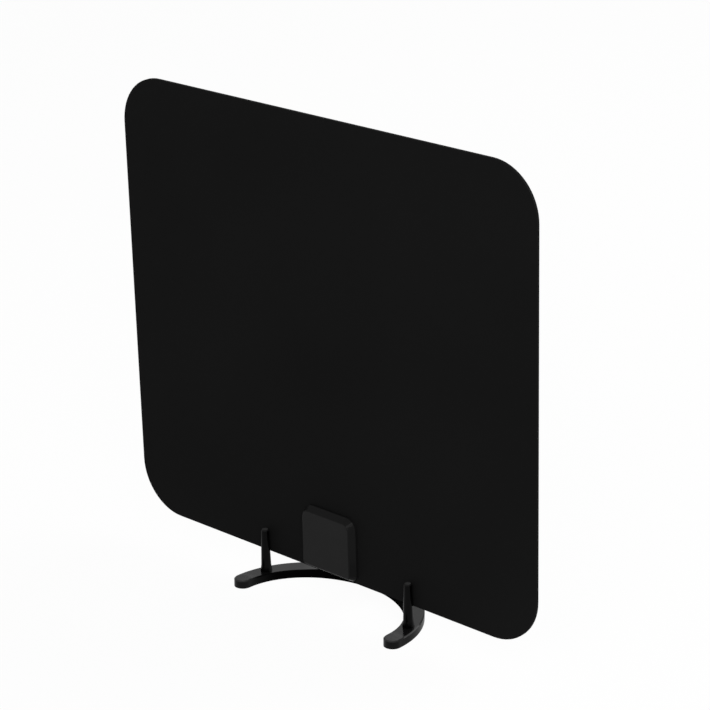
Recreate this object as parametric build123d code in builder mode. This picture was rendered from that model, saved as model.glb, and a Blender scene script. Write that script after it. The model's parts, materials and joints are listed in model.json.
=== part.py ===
from build123d import *
import os
from math import radians, sqrt, tan

# Flat indoor TV antenna: a laminated panel with a junction housing, leaning on the pegs of a crescent stand.
# Millimetres, Z up, the front faces -Y, and the origin is on the floor under the middle of the whole.

# Panel laminate
panel_width = 280.0
panel_height = 250.0
panel_corner = 27.5
panel_lift = 15.5
panel_lean = 2.0
sheet_thickness = 0.75
foil_thickness = 0.1

# Aerial foil, one loop on each side of the middle
foil_gap = 6.0
foil_strip = 14.0
foil_margin = 13.0
feed_width = 7.0
feed_rise = 45.0
loop_corner = 6.0

# Junction housing, a cover in front of the panel and a deeper case behind it
housing_offset = 2.6
housing_width = 37.0
housing_height = 35.5
housing_lift = 1.5
housing_top_corner = 6.5
housing_foot_corner = 3.6
housing_wall = 1.8
cover_depth = 4.8
cover_bevel_inset = 2.2
cover_bevel_depth = 3.4
cover_wall = 2.6
cover_face = 1.4
cover_edge = 1.0
edge_soften = 0.5
case_depth = 13.0
case_rounding = 1.5

# Screws that clamp the cover and the case over the laminate
screw_across = 27.0
screw_end_inset = 5.25
screw_diameter = 2.2
screw_head_diameter = 4.0
screw_head_height = 1.6
screw_tip_gap = 0.4
screw_slot_width = 0.8
screw_slot_depth = 0.7
boss_diameter = 5.4
seat_thickness = 5.0

# Matching board, its balun and the rivets that join it to the foil
board_width = 20.0
board_height = 27.0
board_thickness = 1.2
rivet_across = 13.0
rivet_diameter = 3.0
rivet_bore = 1.8
rivet_flange = 4.6
rivet_flange_height = 0.3
feed_height = 16.0
window_width = 21.0
window_height = 9.0
window_corner = 2.0
core_width = 9.0
core_depth = 4.6
core_height = 6.0
core_bore = 2.2
core_pitch = 4.4
core_lift = 1.25
wire_diameter = 0.6
wire_turns = 2
wire_overhang = 0.5

# Threaded coaxial socket that points straight back
socket_height = 22.5
socket_thread = 9.4
socket_reach = 11.0
socket_bore = 7.0
socket_flange = 13.0
socket_flange_height = 2.0
socket_chamfer = 0.6
thread_relief_width = 0.5
thread_relief_depth = 0.3
insulator_recess = 0.8
contact_diameter = 2.2
contact_bore = 1.0
contact_bore_depth = 8.0
contact_tail = 0.8
nut_across_flats = 12.7
nut_thickness = 2.4
washer_diameter = 13.4
washer_thickness = 0.8

# Crescent stand
stand_offset = 7.2
inner_half_span = 48.9
inner_reach = 42.9
toe_width = 9.5
back_width = 12.0
band_height = 4.5
band_edge = 0.6
hill_height = 8.0
hill_half_length = 40.0
toe_to_panel = 22.4
peg_height = 24.5
peg_foot_radius = 2.7
peg_top_radius = 2.1
peg_top_edge = 0.5
peg_flare_radius = 3.2
peg_flare_height = 3.6
peg_root = 1.0
cradle_width = 28.0
cradle_plate = 2.4
cradle_rib = 2.2
cradle_ribs = 3
backrest_height = 9.0
rib_tail = 2.0

# Clearances
slide_gap = 0.1
rest_gap = 0.3
shelf_gap = 0.5

# Places worked out from the sizes above
stand_depth = toe_width / 2 + inner_reach + back_width
arc_y = -stand_depth / 2 + toe_width / 2
panel_front = -stand_depth / 2 + toe_to_panel
foil_front = panel_front + sheet_thickness
panel_back = panel_front + 2 * sheet_thickness
panel_mid = panel_lift + panel_height / 2
housing_foot = panel_lift + housing_lift
housing_mid = housing_foot + housing_height / 2
screw_up = housing_height - 2 * screw_end_inset
cover_front = panel_front - cover_depth
case_back = panel_back + case_depth
screw_seat = panel_back + seat_thickness
screw_tip = cover_front + cover_face + screw_tip_gap
board_back = panel_back + board_thickness
feed_z = housing_foot + feed_height
socket_z = housing_foot + socket_height
socket_inner = case_back - housing_wall
socket_end = case_back + socket_reach
nut_face = case_back + washer_thickness + nut_thickness
core_foot = housing_mid - board_height / 2 + core_lift
core_z = core_foot + core_height / 2
core_y = board_back + core_depth / 2
peg_y = panel_front - peg_foot_radius - slide_gap
peg_foot_y = peg_y + (housing_foot - band_height) * tan(radians(panel_lean))
toe_x = inner_half_span + toe_width / 2
peg_x = toe_x * sqrt(1 - ((peg_foot_y - arc_y) / (inner_reach + back_width / 2)) ** 2)
shelf_front = panel_back + shelf_gap
backrest_front = case_back + rest_gap
band_inner_y = arc_y + inner_reach

# The antenna is drawn upright, and leans forward about the lower front edge of its rear case
lean = Location((0, panel_back, housing_foot), (panel_lean, 0, 0)) * Location((0, -panel_back, -housing_foot))

os.makedirs("parts", exist_ok=True)


def upright(y):
    """The upright plane at depth y: sketched in X and Z, with a positive extrude toward the front."""
    return Plane.XZ.offset(-y)


def panel_outline():
    """The laminate's outline with its rounded corners."""
    with Locations((0, panel_mid)):
        RectangleRounded(panel_width, panel_height, panel_corner)


def screw_holes(diameter, mode=Mode.SUBTRACT):
    """Four round holes, or bosses, where the housing screws run."""
    with Locations((housing_offset, housing_mid)):
        with GridLocations(screw_across, screw_up, 2, 2):
            Circle(diameter / 2, mode=mode)


def rivet_holes(diameter, mode=Mode.SUBTRACT):
    """Two round holes, or discs, where the foil rivets run."""
    with Locations((housing_offset, feed_z)):
        with GridLocations(rivet_across, 1, 2, 1):
            Circle(diameter / 2, mode=mode)


def housing_outline(inset):
    """The housing's outline, drawn in by an inset: large corners above and small ones at the foot."""
    width = housing_width - 2 * inset
    height = housing_height - 2 * inset
    with Locations((housing_offset, housing_mid)):
        RectangleRounded(width, height, housing_top_corner - inset)
    with Locations((housing_offset, housing_foot + inset)):
        foot_corner = max(housing_foot_corner - inset, edge_soften)
        RectangleRounded(width, height / 2, foot_corner, align=(Align.CENTER, Align.MIN))


def foil_outline(side):
    """One aerial loop and its feed strip, on the side of the middle that the sign gives."""
    loop_foot = feed_z + feed_rise
    loop_width = panel_width / 2 - foil_margin - foil_gap / 2
    loop_height = panel_lift + panel_height - foil_margin - loop_foot
    loop_x = housing_offset + side * (foil_gap + loop_width) / 2
    hole_width = loop_width - 2 * foil_strip
    hole_height = loop_height - 2 * foil_strip
    feed_foot = feed_z - feed_width / 2
    feed_length = loop_foot + loop_corner + foil_strip - feed_foot
    with BuildSketch(mode=Mode.PRIVATE) as loop:
        with Locations((loop_x, loop_foot + loop_height / 2)):
            RectangleRounded(loop_width, loop_height, loop_corner + foil_strip)
            RectangleRounded(hole_width, hole_height, loop_corner, mode=Mode.SUBTRACT)
        with Locations((housing_offset + side * rivet_across / 2, feed_foot)):
            Rectangle(feed_width, feed_length, align=(Align.CENTER, Align.MIN))
    add(loop.sketch)


# Front sheet of the laminate, with a window behind the cover for the rivets
with BuildPart() as front_sheet:
    with BuildSketch(upright(panel_front)):
        panel_outline()
        screw_holes(screw_diameter + 2 * slide_gap)
        with Locations((housing_offset, feed_z)):
            RectangleRounded(window_width, window_height, window_corner, mode=Mode.SUBTRACT)
    extrude(amount=-sheet_thickness)

# Rear sheet, with shallow beds that take the foil
with BuildPart() as rear_sheet:
    with BuildSketch(upright(foil_front)):
        panel_outline()
        screw_holes(screw_diameter + 2 * slide_gap)
        rivet_holes(rivet_diameter + 2 * slide_gap)
    extrude(amount=-sheet_thickness)
    with BuildSketch(upright(foil_front)):
        foil_outline(-1)
        foil_outline(1)
    extrude(amount=-foil_thickness, mode=Mode.SUBTRACT)


def make_foil(side):
    """One aerial loop, punched where its rivet passes."""
    with BuildPart() as foil:
        with BuildSketch(upright(foil_front)):
            foil_outline(side)
            rivet_holes(rivet_diameter + 2 * slide_gap)
        extrude(amount=-foil_thickness)
    return foil


foil_left = make_foil(-1)
foil_right = make_foil(1)

# Front cover, a shallow bevelled shell
with BuildPart() as front_cover:
    with BuildSketch(upright(panel_front)):
        housing_outline(0)
    extrude(amount=cover_depth)
    face = front_cover.faces().sort_by(Axis.Y)[0]
    chamfer(face.edges(), cover_bevel_inset, cover_bevel_depth, reference=face)
    fillet(front_cover.faces().sort_by(Axis.Y)[0].edges(), cover_edge)
    with BuildSketch(upright(panel_front)):
        housing_outline(cover_wall)
    extrude(amount=cover_depth - cover_face, mode=Mode.SUBTRACT)
    with BuildSketch(upright(panel_front)):
        screw_holes(boss_diameter, Mode.ADD)
        screw_holes(screw_diameter)
    extrude(amount=cover_depth - cover_face)

# Rear case, a deeper shell with screw columns and the socket's hole
with BuildPart() as rear_case:
    with BuildSketch(upright(panel_back)):
        housing_outline(0)
    extrude(amount=-case_depth)
    fillet(rear_case.faces().sort_by(Axis.Y)[-1].edges(), case_rounding)
    with BuildSketch(upright(panel_back)):
        housing_outline(housing_wall)
    extrude(amount=-(case_depth - housing_wall), mode=Mode.SUBTRACT)
    with BuildSketch(upright(panel_back)):
        screw_holes(boss_diameter, Mode.ADD)
    extrude(amount=-case_depth)
    with BuildSketch(upright(panel_back)):
        screw_holes(screw_diameter + 2 * slide_gap, Mode.ADD)
    extrude(amount=-case_depth, mode=Mode.SUBTRACT)
    with BuildSketch(upright(screw_seat)):
        screw_holes(screw_head_diameter + 2 * slide_gap, Mode.ADD)
    extrude(amount=-case_depth, mode=Mode.SUBTRACT)
    with BuildSketch(upright(panel_back)):
        with Locations((housing_offset, socket_z)):
            Circle(socket_thread / 2 + slide_gap)
    extrude(amount=-case_depth, mode=Mode.SUBTRACT)

# Screws, driven from the back
with BuildPart() as housing_screws:
    with BuildSketch(upright(screw_seat)):
        screw_holes(screw_diameter, Mode.ADD)
    extrude(amount=screw_seat - screw_tip)
    with BuildSketch(upright(screw_seat)):
        screw_holes(screw_head_diameter, Mode.ADD)
    extrude(amount=-screw_head_height)
    with BuildSketch(upright(screw_seat + screw_head_height)):
        with Locations((housing_offset, housing_mid)):
            with GridLocations(screw_across, screw_up, 2, 2):
                Rectangle(screw_head_diameter, screw_slot_width)
    extrude(amount=screw_slot_depth, mode=Mode.SUBTRACT)

# Matching board, riveted flat on the rear sheet
with BuildPart() as circuit_board:
    with BuildSketch(upright(panel_back)):
        with Locations((housing_offset, housing_mid)):
            Rectangle(board_width, board_height)
        rivet_holes(rivet_diameter + 2 * slide_gap)
        with Locations((housing_offset, socket_z)):
            Circle(contact_tail / 2 + slide_gap, mode=Mode.SUBTRACT)
    extrude(amount=-board_thickness)

# Hollow rivets that press the foil to the board
with BuildPart() as contact_rivets:
    with BuildSketch(upright(foil_front)):
        rivet_holes(rivet_diameter, Mode.ADD)
    extrude(amount=-(board_back - foil_front))
    with BuildSketch(upright(foil_front)):
        rivet_holes(rivet_flange, Mode.ADD)
    extrude(amount=rivet_flange_height)
    with BuildSketch(upright(board_back)):
        rivet_holes(rivet_flange, Mode.ADD)
    extrude(amount=-rivet_flange_height)
    with BuildSketch(upright(foil_front)):
        rivet_holes(rivet_bore, Mode.ADD)
    extrude(amount=board_back - foil_front + rivet_flange_height, both=True, mode=Mode.SUBTRACT)

# Two-hole ferrite core of the balun
with BuildPart() as balun_core:
    with BuildSketch(Plane.XY.offset(core_foot)):
        with Locations((housing_offset, core_y)):
            RectangleRounded(core_width, core_depth, edge_soften)
            with GridLocations(core_pitch, 1, 2, 1):
                Circle(core_bore / 2, mode=Mode.SUBTRACT)
    extrude(amount=core_height)

# Balun winding, closed turns through both holes of the core
with BuildPart() as balun_winding:
    turn_height = core_height + 2 * wire_overhang
    for turn in range(wire_turns):
        turn_y = core_y + (turn - (wire_turns - 1) / 2) * (wire_diameter + slide_gap)
        with BuildSketch(upright(turn_y)):
            with Locations((housing_offset, core_z)):
                RectangleRounded(core_pitch + wire_diameter, turn_height + 2 * wire_diameter,
                                 2 * wire_diameter)
                RectangleRounded(core_pitch - wire_diameter, turn_height, wire_diameter, mode=Mode.SUBTRACT)
        extrude(amount=wire_diameter / 2, both=True)

# Socket body with its inner flange and through bore
with BuildPart() as socket_body:
    with BuildSketch(upright(socket_inner)):
        with Locations((housing_offset, socket_z)):
            Circle(socket_flange / 2)
    extrude(amount=socket_flange_height)
    with BuildSketch(upright(socket_inner)):
        with Locations((housing_offset, socket_z)):
            Circle(socket_thread / 2)
    extrude(amount=-(socket_end - socket_inner))
    chamfer(socket_body.faces().sort_by(Axis.Y)[-1].edges(), socket_chamfer)
    with BuildSketch(upright(nut_face)):
        with Locations((housing_offset, socket_z)):
            Circle(socket_thread / 2)
            Circle(socket_thread / 2 - thread_relief_depth, mode=Mode.SUBTRACT)
    extrude(amount=-thread_relief_width, mode=Mode.SUBTRACT)
    with BuildSketch(upright(socket_end)):
        with Locations((housing_offset, socket_z)):
            Circle(socket_bore / 2)
    extrude(amount=socket_end - socket_inner + socket_flange_height, mode=Mode.SUBTRACT)

# Insulator plug that fills the socket's bore
with BuildPart() as socket_insulator:
    with BuildSketch(upright(socket_inner - socket_flange_height)):
        with Locations((housing_offset, socket_z)):
            Circle(socket_bore / 2)
            Circle(contact_diameter / 2, mode=Mode.SUBTRACT)
    extrude(amount=-(socket_end - insulator_recess - socket_inner + socket_flange_height))

# Centre contact, a bored sleeve outside and a thin tail to the board inside
with BuildPart() as socket_contact:
    with BuildSketch(upright(socket_inner - socket_flange_height)):
        with Locations((housing_offset, socket_z)):
            Circle(contact_diameter / 2)
    extrude(amount=-(socket_end - 2 * insulator_recess - socket_inner + socket_flange_height))
    with BuildSketch(upright(socket_inner - socket_flange_height)):
        with Locations((housing_offset, socket_z)):
            Circle(contact_tail / 2)
    extrude(amount=socket_inner - socket_flange_height - panel_back - slide_gap)
    with BuildSketch(upright(socket_end - 2 * insulator_recess)):
        with Locations((housing_offset, socket_z)):
            Circle(contact_bore / 2)
    extrude(amount=contact_bore_depth, mode=Mode.SUBTRACT)

# Washer and nut that clamp the socket from outside
with BuildPart() as socket_washer:
    with BuildSketch(upright(case_back)):
        with Locations((housing_offset, socket_z)):
            Circle(washer_diameter / 2)
            Circle(socket_thread / 2 + slide_gap, mode=Mode.SUBTRACT)
    extrude(amount=-washer_thickness)

with BuildPart() as socket_nut:
    with BuildSketch(upright(case_back + washer_thickness)):
        with Locations((housing_offset, socket_z)):
            RegularPolygon(nut_across_flats / 2, 6, major_radius=False)
            Circle(socket_thread / 2, mode=Mode.SUBTRACT)
    extrude(amount=-nut_thickness)

# Stand: an elliptic crescent with round toes, a low hill at the back, two pegs and the rear cradle
with BuildPart() as stand:
    with BuildSketch():
        with Locations((stand_offset, arc_y)):
            Ellipse(inner_half_span + toe_width, inner_reach + back_width)
            Ellipse(inner_half_span, inner_reach, mode=Mode.SUBTRACT)
            Rectangle(4 * toe_x, 2 * stand_depth, align=(Align.CENTER, Align.MAX), mode=Mode.SUBTRACT)
            with GridLocations(2 * toe_x, 1, 2, 1):
                Circle(toe_width / 2)
    extrude(amount=hill_height)
    with BuildSketch(Plane.XZ):
        with BuildLine(Location((stand_offset, 0))):
            span = 2 * toe_x
            Polyline((-hill_half_length, band_height), (-span, band_height), (-span, 0), (span, 0),
                     (span, band_height), (hill_half_length, band_height))
            Spline((-hill_half_length, band_height), (0, hill_height), (hill_half_length, band_height),
                   tangents=((1, 0), (1, 0), (1, 0)))
        make_face()
    extrude(amount=stand_depth, both=True, mode=Mode.INTERSECT)
    top_faces = stand.faces().filter_by(lambda face: face.normal_at().Z > 0.5)
    chamfer(top_faces.edges().filter_by(Axis.Y, reverse=True), band_edge)

    # Pegs with a flared foot that lean with the panel
    peg_plane = Plane(lean * upright(peg_y).location)
    for side in (-1, 1):
        axis_x = stand_offset + side * peg_x
        with BuildSketch(peg_plane):
            with BuildLine(Location((axis_x, band_height))):
                Polyline((0, -peg_root), (peg_flare_radius, -peg_root), (peg_flare_radius, 0),
                         (peg_foot_radius, peg_flare_height), (peg_top_radius, peg_height - peg_top_edge),
                         (peg_top_radius - peg_top_edge, peg_height), (0, peg_height), close=True)
            make_face()
        revolve(axis=Axis(peg_plane.from_local_coords((axis_x, 0, 0)), peg_plane.y_dir))

    # Shelf under the rear case, the backrest behind it and the ribs that carry both
    with Locations((stand_offset, shelf_front, housing_foot)):
        Box(cradle_width, backrest_front + cradle_plate - shelf_front, cradle_plate,
            align=(Align.CENTER, Align.MIN, Align.MAX))
    with Locations((stand_offset, backrest_front, housing_foot - cradle_plate)):
        Box(cradle_width, cradle_plate, cradle_plate + backrest_height,
            align=(Align.CENTER, Align.MIN, Align.MIN))
    rib_pitch = (cradle_width - cradle_rib) / (cradle_ribs - 1)
    for rib in range(cradle_ribs):
        rib_x = stand_offset + (rib - (cradle_ribs - 1) / 2) * rib_pitch
        with BuildSketch(Plane.YZ.offset(rib_x)):
            with BuildLine():
                Polyline((shelf_front + cradle_plate, housing_foot - cradle_plate),
                         (backrest_front + cradle_plate, housing_foot - cradle_plate),
                         (backrest_front + cradle_plate, housing_foot + backrest_height - cradle_plate),
                         (stand_depth / 2 - rib_tail, band_height),
                         (band_inner_y + rib_tail, band_height), close=True)
            make_face()
        extrude(amount=cradle_rib / 2, both=True)

antenna = {
    "front_sheet": front_sheet,
    "rear_sheet": rear_sheet,
    "foil_left": foil_left,
    "foil_right": foil_right,
    "front_cover": front_cover,
    "rear_case": rear_case,
    "housing_screws": housing_screws,
    "circuit_board": circuit_board,
    "contact_rivets": contact_rivets,
    "balun_core": balun_core,
    "balun_winding": balun_winding,
    "socket_body": socket_body,
    "socket_insulator": socket_insulator,
    "socket_contact": socket_contact,
    "socket_washer": socket_washer,
    "socket_nut": socket_nut,
}
pieces = {label: lean * piece.part for label, piece in antenna.items()}
pieces["stand"] = stand.part
for label, piece in pieces.items():
    piece.label = label
    export_step(piece, f"parts/{label}.step")
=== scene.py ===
import json
import math
import bpy
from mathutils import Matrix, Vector


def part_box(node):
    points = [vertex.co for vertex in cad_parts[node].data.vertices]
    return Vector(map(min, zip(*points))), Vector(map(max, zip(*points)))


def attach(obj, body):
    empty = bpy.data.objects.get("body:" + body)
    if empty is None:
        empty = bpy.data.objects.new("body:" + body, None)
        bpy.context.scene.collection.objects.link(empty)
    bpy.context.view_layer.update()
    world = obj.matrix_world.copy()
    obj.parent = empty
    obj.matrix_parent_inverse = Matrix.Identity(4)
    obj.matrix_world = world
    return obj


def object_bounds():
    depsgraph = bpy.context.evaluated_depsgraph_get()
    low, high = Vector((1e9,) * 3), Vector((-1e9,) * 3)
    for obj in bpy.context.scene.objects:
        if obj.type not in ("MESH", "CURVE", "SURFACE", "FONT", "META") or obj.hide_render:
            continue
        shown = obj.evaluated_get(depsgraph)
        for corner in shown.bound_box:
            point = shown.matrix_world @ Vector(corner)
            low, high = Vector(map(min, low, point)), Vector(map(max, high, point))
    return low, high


# Looks of the flat indoor antenna: finishes for every piece, the socket's thread, light and camera. Metres.
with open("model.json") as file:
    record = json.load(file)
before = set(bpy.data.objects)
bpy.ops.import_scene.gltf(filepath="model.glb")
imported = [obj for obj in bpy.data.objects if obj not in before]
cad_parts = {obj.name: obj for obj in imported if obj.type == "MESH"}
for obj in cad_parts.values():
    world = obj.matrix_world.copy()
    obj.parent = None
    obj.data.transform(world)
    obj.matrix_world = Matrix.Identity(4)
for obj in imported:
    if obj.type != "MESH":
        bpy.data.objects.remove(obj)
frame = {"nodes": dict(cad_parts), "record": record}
cad_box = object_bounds()
nodes = frame["nodes"]
MM = 0.001
FRONT = (0, -1, 0)
BACK = (0, 1, 0)
UP = (0, 0, 1)

# Camera, level, from the panel's edges in a square picture
PICTURE_SIDE = 710
FOCAL_PIXELS = 2572.5
SENSOR = 36.0
AZIMUTH = math.radians(42.42)
ELEVATION = math.radians(19.92)
DISTANCE_IN_WIDTHS = 4.631
AIM_IN_WIDTHS = (0.0816, -0.0019, 0.0155)

# Stage and light, the lamps' azimuth from the front and their elevation in degrees
FLOOR_SIDE = 6.0
FLOOR_ALBEDO = 0.88
FLOOR_WHITE_SHARE = 0.96
SKY_STRENGTH = 0.30
LAMPS = {
    "front_lamp": dict(azimuth=32, elevation=26, distance=1.9, width=1.5, height=1.0, watts=25.0),
    "rear_lamp": dict(azimuth=150, elevation=25, distance=1.8, width=1.6, height=1.0, watts=28.0),
    "high_lamp": dict(azimuth=54, elevation=47, distance=1.8, width=0.5, height=0.4, watts=3.0),
}

# Panel film: two tones, and what its broad clouds and its grain add to the roughness
FILM_DARK = 0.0054
FILM_PALE = 0.0076
FILM_SPECULAR = 0.008
FILM_ROUGHNESS = 0.38
FILM_CLOUDS_ADD = 0.12
FILM_GRAIN_ADDS = 0.06

# Housing plastic: tones of the textured faces and of the polished bevels, whose darker tone is painted shade,
# and what adds to the roughness
HOUSING_DARK = 0.0126
HOUSING_PALE = 0.0160
HOUSING_BEVEL_SHADE = 0.0080
HOUSING_SPECULAR = 0.03
HOUSING_ROUGHNESS = 0.14
HOUSING_DRIFT_ADDS = 0.05
HOUSING_FLAT_ADDS = 0.20
HOUSING_TEXTURE_ADDS = 0.08

# Stand plastic: its black, the pale tone of the painted reflection on what faces up, and what adds to the
# roughness
STAND_BLACK = 0.0010
STAND_REFLECTION_TONE = 0.1040
STAND_ROUGHNESS = 0.30
STAND_MOTTLE_ADDS = 0.10
STAND_REFLECTION_ROUGHENS = 0.15

# How strong the painted reflection is on what faces up on the stand: all over, at the toes, and as a painted
# highlight at the peg caps; and how much of it is mottled
PAINTED_REFLECTION_ALL_OVER = 0.03
PAINTED_REFLECTION_AT_TOES = 0.97
PAINTED_HIGHLIGHT_AT_CAPS = 0.40
PAINTED_REFLECTION_EVENLY = 0.6
PAINTED_REFLECTION_MOTTLED = 0.8

# Glossy skin of the stand: its share on the walls, what tops and toes add, and what the walls dulled as
# painted shade lose
SKIN_IOR = 1.22
SKIN_ROUGHNESS = 0.14
SKIN_ON_WALLS = 0.45
SKIN_TOPS_ADD = 0.52
SKIN_TOES_ADD = 0.40
SKIN_LOST_TO_SHADE = 0.97

# Toes of the stand, by the distance from its front: the painted reflection and the extra glossy skin begin at
# the first and are full at the second
TOES_BEGIN = 12 * MM
TOES_FULL = 3 * MM

# Walls of the stand dulled as painted shade: below a height, and behind the toes
SHADE_BELOW = 8 * MM
SHADE_FULLY_BELOW = 5 * MM
SHADE_BEHIND = 6 * MM
SHADE_FULLY_BEHIND = 14 * MM

# Caps of the pegs, by their height
CAPS_BEGIN = 22 * MM
CAPS_FULL = 23.5 * MM

# Small metal and other inner pieces
METAL_GRAIN_ADDS = 0.12
METAL_DRIFT_IN_GRAINS = 8
PLAIN_GRAIN_ADDS = 0.15

# Socket thread, 32 turns to the inch, with a plain turn at each end
THREAD_PITCH = 25.4 / 32 * MM
THREAD_PLAIN_TURNS = 2
THREAD_RIDGE = 0.22 * MM
THREAD_RIDGE_SIDES = 4
THREAD_POINTS_PER_TURN = 32
THREAD_SINK = 0.06 * MM


class Field:
    """One output of a node. Arithmetic on it adds Math nodes to its tree."""

    def __init__(self, graph, socket):
        self.graph = graph
        self.socket = socket

    def math(self, operation, first, second):
        return self.graph.node("ShaderNodeMath", {"operation": operation}, {0: first, 1: second})

    def __add__(self, other):
        return self.math("ADD", self, other)

    def __radd__(self, other):
        return self.math("ADD", other, self)

    def __rsub__(self, other):
        return self.math("SUBTRACT", other, self)

    def __mul__(self, other):
        return self.math("MULTIPLY", self, other)

    def __rmul__(self, other):
        return self.math("MULTIPLY", other, self)


class Graph:
    """A node tree, emptied, that nodes are added to."""

    def __init__(self, tree):
        self.tree = tree
        self.tree.nodes.clear()

    def add(self, kind, settings=None, inputs=None):
        """Adds a node: its settings first, then its sockets' values or links."""
        made = self.tree.nodes.new(kind)
        for name, value in (settings or {}).items():
            setattr(made, name, value)
        for name, value in (inputs or {}).items():
            if isinstance(value, Field):
                self.tree.links.new(value.socket, made.inputs[name])
            else:
                made.inputs[name].default_value = value
        return made

    def node(self, kind, settings=None, inputs=None, output=0):
        """Adds a node and returns one of its outputs."""
        return Field(self, self.add(kind, settings, inputs).outputs[output])


class Finish(Graph):
    """A material built from nodes."""

    def __init__(self, name):
        self.material = bpy.data.materials.new(name)
        self.material.use_nodes = True
        super().__init__(self.material.node_tree)

    def place(self):
        """Object coordinates, in metres."""
        return self.node("ShaderNodeTexCoord", output="Object")

    def noise(self, size, detail):
        """Soft noise from 0 to 1 whose blotches are about this size."""
        inputs = {"Vector": self.place(), "Scale": 1 / size, "Detail": detail}
        return self.node("ShaderNodeTexNoise", {"noise_dimensions": "3D"}, inputs, "Fac")

    def rise(self, value, start, end):
        """0 where a value is at the start, 1 where it is at the end, and smooth between."""
        inputs = {"Value": value, "From Min": start, "From Max": end}
        return self.node("ShaderNodeMapRange", {"interpolation_type": "SMOOTHSTEP"}, inputs)

    def facing(self, way, start, end):
        """1 where the surface looks this way, 0 where it has turned off; both limits are cosines."""
        normal = self.node("ShaderNodeNewGeometry", output="Normal")
        cosine = self.node("ShaderNodeVectorMath", {"operation": "DOT_PRODUCT"}, {0: normal, 1: way}, "Value")
        return self.rise(cosine, start, end)

    def along(self, axis, start, end):
        """0 before one place on an axis of the Object coordinates, rising to 1 at another."""
        place = self.node("ShaderNodeSeparateXYZ", inputs={"Vector": self.place()}, output=axis)
        return self.rise(place, start, end)

    def blend(self, factor, first, second):
        """A colour between two, by a factor from 0 to 1."""
        first, second = (colour if isinstance(colour, Field) else (*colour, 1) for colour in (first, second))
        return self.node("ShaderNodeMix", {"data_type": "RGBA"}, {"Factor": factor, 6: first, 7: second}, 2)

    def bump(self, height, depth, strength):
        """A normal from a height."""
        return self.node("ShaderNodeBump", inputs={"Height": height, "Distance": depth, "Strength": strength})

    def surface(self, shader):
        """Ends the material in a shader."""
        self.add("ShaderNodeOutputMaterial", inputs={"Surface": shader})
        return self.material

    def shade(self, **inputs):
        """Ends the material in a Principled shader, its sockets named with _ for a space."""
        spaced = {name.replace("_", " "): value for name, value in inputs.items()}
        return self.surface(self.node("ShaderNodeBsdfPrincipled", inputs=spaced))


def grey(tone):
    return (tone, tone, tone)


def panel_film():
    """Satin black film: broad faint clouding and a fine calendered grain."""
    finish = Finish("panel_film")
    clouds = finish.noise(size=90 * MM, detail=1.0)
    grain = finish.noise(size=0.5 * MM, detail=3.0)
    return finish.shade(
        Base_Color=finish.blend(clouds, grey(FILM_DARK), grey(FILM_PALE)),
        Roughness=FILM_ROUGHNESS + FILM_CLOUDS_ADD * clouds + FILM_GRAIN_ADDS * grain,
        Specular_IOR_Level=FILM_SPECULAR,
        Normal=finish.bump(grain, depth=0.02 * MM, strength=0.25))


def housing_plastic():
    """Moulded black plastic: a fine spark-eroded texture on the flat faces, polished bevels and sides with a
    darker tone that is painted shade.
    """
    finish = Finish("housing_plastic")
    texture = finish.noise(size=0.25 * MM, detail=4.0)
    drift = finish.noise(size=14 * MM, detail=1.0)
    flat = finish.facing(FRONT, start=0.93, end=0.995) + finish.facing(BACK, start=0.93, end=0.995)
    eroded = finish.blend(drift, grey(HOUSING_DARK), grey(HOUSING_PALE))
    rough = HOUSING_FLAT_ADDS + HOUSING_TEXTURE_ADDS * texture
    # The darker tone of the bevels and sides is painted shade
    return finish.shade(
        Base_Color=finish.blend(flat, grey(HOUSING_BEVEL_SHADE), eroded),
        Roughness=HOUSING_ROUGHNESS + HOUSING_DRIFT_ADDS * drift + flat * rough,
        Specular_IOR_Level=HOUSING_SPECULAR,
        Normal=finish.bump(flat * texture, depth=0.03 * MM, strength=0.35))


def stand_plastic():
    """Glossy skin over black plastic, taken off low walls that face the front as painted shade; a pale
    painted reflection on what faces up, strongest at the toes, and a painted highlight on the peg caps.
    """
    finish = Finish("stand_plastic")
    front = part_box("stand")[0].y
    mottle = finish.noise(size=1.1 * MM, detail=2.0)
    upward = finish.facing(UP, start=0.60, end=0.95)
    level = finish.facing(UP, start=0.86, end=0.97)
    toes = finish.along("Y", front + TOES_BEGIN, front + TOES_FULL)
    caps = finish.along("Z", CAPS_BEGIN, CAPS_FULL)
    low = finish.along("Z", SHADE_BELOW, SHADE_FULLY_BELOW)
    behind = finish.along("Y", front + SHADE_BEHIND, front + SHADE_FULLY_BEHIND)
    # Painted shade: low walls behind the toes that face the front lose their glossy skin and go black
    dull = finish.facing(FRONT, start=0.10, end=0.50) * low * behind
    # Painted reflection: a pale tone on what faces up, strongest at the toes, and a painted highlight on the
    # peg caps
    reflection_reach = upward * (PAINTED_REFLECTION_ALL_OVER + PAINTED_REFLECTION_AT_TOES * toes + PAINTED_HIGHLIGHT_AT_CAPS * caps)
    painted_reflection = reflection_reach * (PAINTED_REFLECTION_EVENLY + PAINTED_REFLECTION_MOTTLED * mottle)
    skin = SKIN_ON_WALLS + SKIN_TOPS_ADD * level + SKIN_TOES_ADD * toes * (1 - level)
    return finish.shade(
        Base_Color=finish.blend(painted_reflection, grey(STAND_BLACK), grey(STAND_REFLECTION_TONE)),
        Roughness=STAND_ROUGHNESS + STAND_MOTTLE_ADDS * mottle + STAND_REFLECTION_ROUGHENS * painted_reflection,
        Specular_IOR_Level=0.0,
        Coat_Weight=skin * (1 - SKIN_LOST_TO_SHADE * dull),
        Coat_Roughness=SKIN_ROUGHNESS,
        Coat_IOR=SKIN_IOR,
        Normal=finish.bump(mottle, depth=0.03 * MM, strength=0.2))


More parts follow.
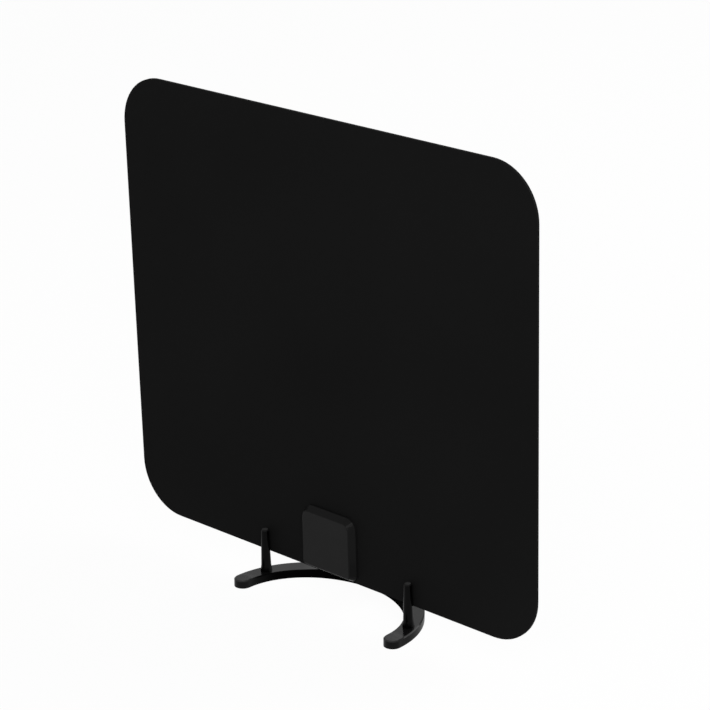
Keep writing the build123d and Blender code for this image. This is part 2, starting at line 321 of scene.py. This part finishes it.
def metal(name, dull, bright, roughness, grain_size):
    """Plain metal: a tone that drifts between two and a roughness that follows a grain."""
    finish = Finish(name)
    grain = finish.noise(grain_size, detail=3.0)
    drift = finish.noise(METAL_DRIFT_IN_GRAINS * grain_size, detail=1.0)
    return finish.shade(
        Base_Color=finish.blend(drift, dull, bright),
        Metallic=1.0,
        Roughness=roughness + METAL_GRAIN_ADDS * grain,
        Normal=finish.bump(grain, depth=0.02 * MM, strength=0.15))


def plain(name, dark, light, roughness, grain_size, grain_depth):
    """Plain non-metal: two tones mixed by a grain that also roughens the skin."""
    finish = Finish(name)
    grain = finish.noise(grain_size, detail=3.0)
    return finish.shade(
        Base_Color=finish.blend(grain, dark, light),
        Roughness=roughness + PLAIN_GRAIN_ADDS * grain,
        Normal=finish.bump(grain, grain_depth, strength=0.3))


film = panel_film()
housing = housing_plastic()
gloss = stand_plastic()
foil = metal(
    "aerial_foil", dull=(0.70, 0.70, 0.71), bright=(0.84, 0.84, 0.85), roughness=0.28, grain_size=0.8 * MM)
steel = metal(
    "screw_steel", dull=(0.48, 0.48, 0.49), bright=(0.62, 0.62, 0.63), roughness=0.30, grain_size=0.3 * MM)
brass = metal(
    "contact_brass", dull=(0.66, 0.48, 0.22), bright=(0.80, 0.62, 0.32), roughness=0.25, grain_size=0.3 * MM)
nickel = metal(
    "socket_nickel", dull=(0.62, 0.60, 0.57), bright=(0.76, 0.74, 0.71), roughness=0.20, grain_size=0.4 * MM)
copper = metal(
    "winding_copper", dull=(0.62, 0.26, 0.12), bright=(0.78, 0.36, 0.18), roughness=0.30, grain_size=0.3 * MM)
board = plain(
    "board_lacquer", dark=(0.010, 0.075, 0.030), light=(0.018, 0.110, 0.045), roughness=0.30,
    grain_size=1.5 * MM, grain_depth=0.02 * MM)
ferrite = plain(
    "ferrite", dark=(0.020, 0.020, 0.022), light=(0.040, 0.040, 0.043), roughness=0.60,
    grain_size=0.4 * MM, grain_depth=0.04 * MM)
insulator = plain(
    "socket_insulator_white", dark=(0.70, 0.69, 0.65), light=(0.80, 0.79, 0.75), roughness=0.45,
    grain_size=0.8 * MM, grain_depth=0.02 * MM)

finishes = {
    "front_sheet": film,
    "rear_sheet": film,
    "front_cover": housing,
    "rear_case": housing,
    "stand": gloss,
    "foil_left": foil,
    "foil_right": foil,
    "housing_screws": steel,
    "circuit_board": board,
    "contact_rivets": brass,
    "balun_core": ferrite,
    "balun_winding": copper,
    "socket_body": nickel,
    "socket_washer": nickel,
    "socket_nut": nickel,
    "socket_contact": brass,
    "socket_insulator": insulator,
}
for name, material in finishes.items():
    nodes[name].data.materials.clear()
    nodes[name].data.materials.append(material)


def link(item):
    bpy.context.scene.collection.objects.link(item)
    return item


class Growth(Graph):
    """A Geometry Nodes tree with named inputs, grown on an empty mesh and turned into a plain mesh."""

    def __init__(self, name):
        super().__init__(bpy.data.node_groups.new(name, "GeometryNodeTree"))
        self.name = name
        self.tree.interface.new_socket("Geometry", in_out="OUTPUT", socket_type="NodeSocketGeometry")
        self.values = {}
        self.entry = self.add("NodeGroupInput")

    def size(self, name, value):
        """Adds a named input with its value, and returns what carries it."""
        socket = self.tree.interface.new_socket(name, in_out="INPUT", socket_type="NodeSocketFloat")
        self.values[socket.identifier] = value
        return Field(self, self.entry.outputs[name])

    def piece(self, geometry, material):
        """Ends the tree, evaluates it and returns the finished piece at the origin."""
        realized = self.node("GeometryNodeRealizeInstances", inputs={"Geometry": geometry})
        finished = self.node("GeometryNodeSetMaterial", inputs={"Geometry": realized, "Material": material})
        self.add("NodeGroupOutput", inputs={"Geometry": finished})
        made = link(bpy.data.objects.new(self.name, bpy.data.meshes.new(self.name)))
        grower = made.modifiers.new(self.name, "NODES")
        grower.node_group = self.tree
        for identifier, value in self.values.items():
            grower[identifier] = value
        evaluated = made.evaluated_get(bpy.context.evaluated_depsgraph_get())
        mesh = bpy.data.meshes.new_from_object(evaluated)
        made.modifiers.clear()
        made.data = mesh
        return made


def socket_thread():
    """A helical ridge along the free end of the socket, past its nut."""
    mount = next(row for row in frame["record"]["mounts"] if row["name"] == "coax_socket")
    along = Vector(mount["axis"])
    length = mount["dims"]["length_mm"] * MM - THREAD_PLAIN_TURNS * THREAD_PITCH
    start = Vector(mount["pos_m"]) - along * length / 2
    growth = Growth("socket_thread")
    ridge = growth.size("Ridge", THREAD_RIDGE)
    reach = growth.size("Length", length)
    radius = growth.size("Radius", mount["dims"]["r_mm"] * MM - THREAD_SINK)
    turns = growth.size("Turns", length / THREAD_PITCH)
    helix = growth.node("GeometryNodeCurveSpiral", inputs={
        "Resolution": THREAD_POINTS_PER_TURN, "Rotations": turns, "Start Radius": radius,
        "End Radius": radius, "Height": reach})
    section = growth.node("GeometryNodeCurvePrimitiveCircle", inputs={
        "Resolution": THREAD_RIDGE_SIDES, "Radius": ridge})
    wound = growth.node("GeometryNodeCurveToMesh", inputs={
        "Curve": helix, "Profile Curve": section, "Fill Caps": True})
    turned = growth.node("GeometryNodeTransform", inputs={
        "Geometry": wound, "Translation": start, "Rotation": along.to_track_quat("Z", "Y").to_euler()})
    thread = growth.piece(turned, nickel)
    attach(thread, "root")


def white_for_sight(graph, lit, white_kind, white_share):
    """Mixes a lit shader with plain white for the rays that the eye, gloss and glass follow."""
    white = graph.node(white_kind, inputs={"Color": (1, 1, 1, 1)})
    seen = graph.node("ShaderNodeLightPath", output="Is Camera Ray")
    for name in ("Is Glossy Ray", "Is Transmission Ray"):
        seen = seen.math("MAXIMUM", seen, graph.node("ShaderNodeLightPath", output=name))
    return graph.node("ShaderNodeMixShader", inputs={0: seen * white_share, 1: lit, 2: white})


def make_floor():
    mesh = bpy.data.meshes.new("floor")
    half = FLOOR_SIDE / 2
    corners = [(-half, -half, 0), (half, -half, 0), (half, half, 0), (-half, half, 0)]
    mesh.from_pydata(corners, [], [(0, 1, 2, 3)])
    finish = Finish("floor_white")
    matt = finish.node("ShaderNodeBsdfDiffuse", inputs={"Color": (*grey(FLOOR_ALBEDO), 1)})
    seen = white_for_sight(finish, matt, "ShaderNodeEmission", FLOOR_WHITE_SHARE)
    mesh.materials.append(finish.surface(seen))
    link(bpy.data.objects.new("floor", mesh))


def make_sky():
    world = bpy.data.worlds.new("studio")
    bpy.context.scene.world = world
    world.use_nodes = True
    graph = Graph(world.node_tree)
    sky = graph.node("ShaderNodeBackground", inputs={"Strength": SKY_STRENGTH})
    seen = white_for_sight(graph, sky, "ShaderNodeBackground", white_share=1.0)
    graph.add("ShaderNodeOutputWorld", inputs={"Surface": seen})


def direction(azimuth, elevation):
    """The way from the object to a lamp or camera; azimuth runs from the front to the right."""
    level = math.cos(elevation)
    return Vector((math.sin(azimuth) * level, -math.cos(azimuth) * level, math.sin(elevation)))


def make_lamp(name, azimuth, elevation, distance, width, height, watts):
    light = bpy.data.lights.new(name, "AREA")
    light.energy = watts
    light.shape = "RECTANGLE"
    light.size = width
    light.size_y = height
    back = direction(math.radians(azimuth), math.radians(elevation))
    lamp = link(bpy.data.objects.new(name, light))
    lamp.location = (cad_box[0] + cad_box[1]) / 2 + back * distance
    lamp.rotation_euler = back.to_track_quat("Z", "Y").to_euler()


def make_camera():
    low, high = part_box("front_sheet")
    width = high.x - low.x
    back = direction(AZIMUTH, ELEVATION)
    data = bpy.data.cameras.new("camera")
    data.sensor_width = SENSOR
    data.lens = FOCAL_PIXELS / PICTURE_SIDE * SENSOR
    camera = link(bpy.data.objects.new("camera", data))
    camera.location = (low + high) / 2 + (Vector(AIM_IN_WIDTHS) + back * DISTANCE_IN_WIDTHS) * width
    camera.rotation_euler = back.to_track_quat("Z", "Y").to_euler()
    bpy.context.scene.camera = camera


socket_thread()
make_floor()
make_sky()
for lamp_name, lamp in LAMPS.items():
    make_lamp(lamp_name, **lamp)
make_camera()
bpy.context.scene.view_settings.view_transform = "Standard"
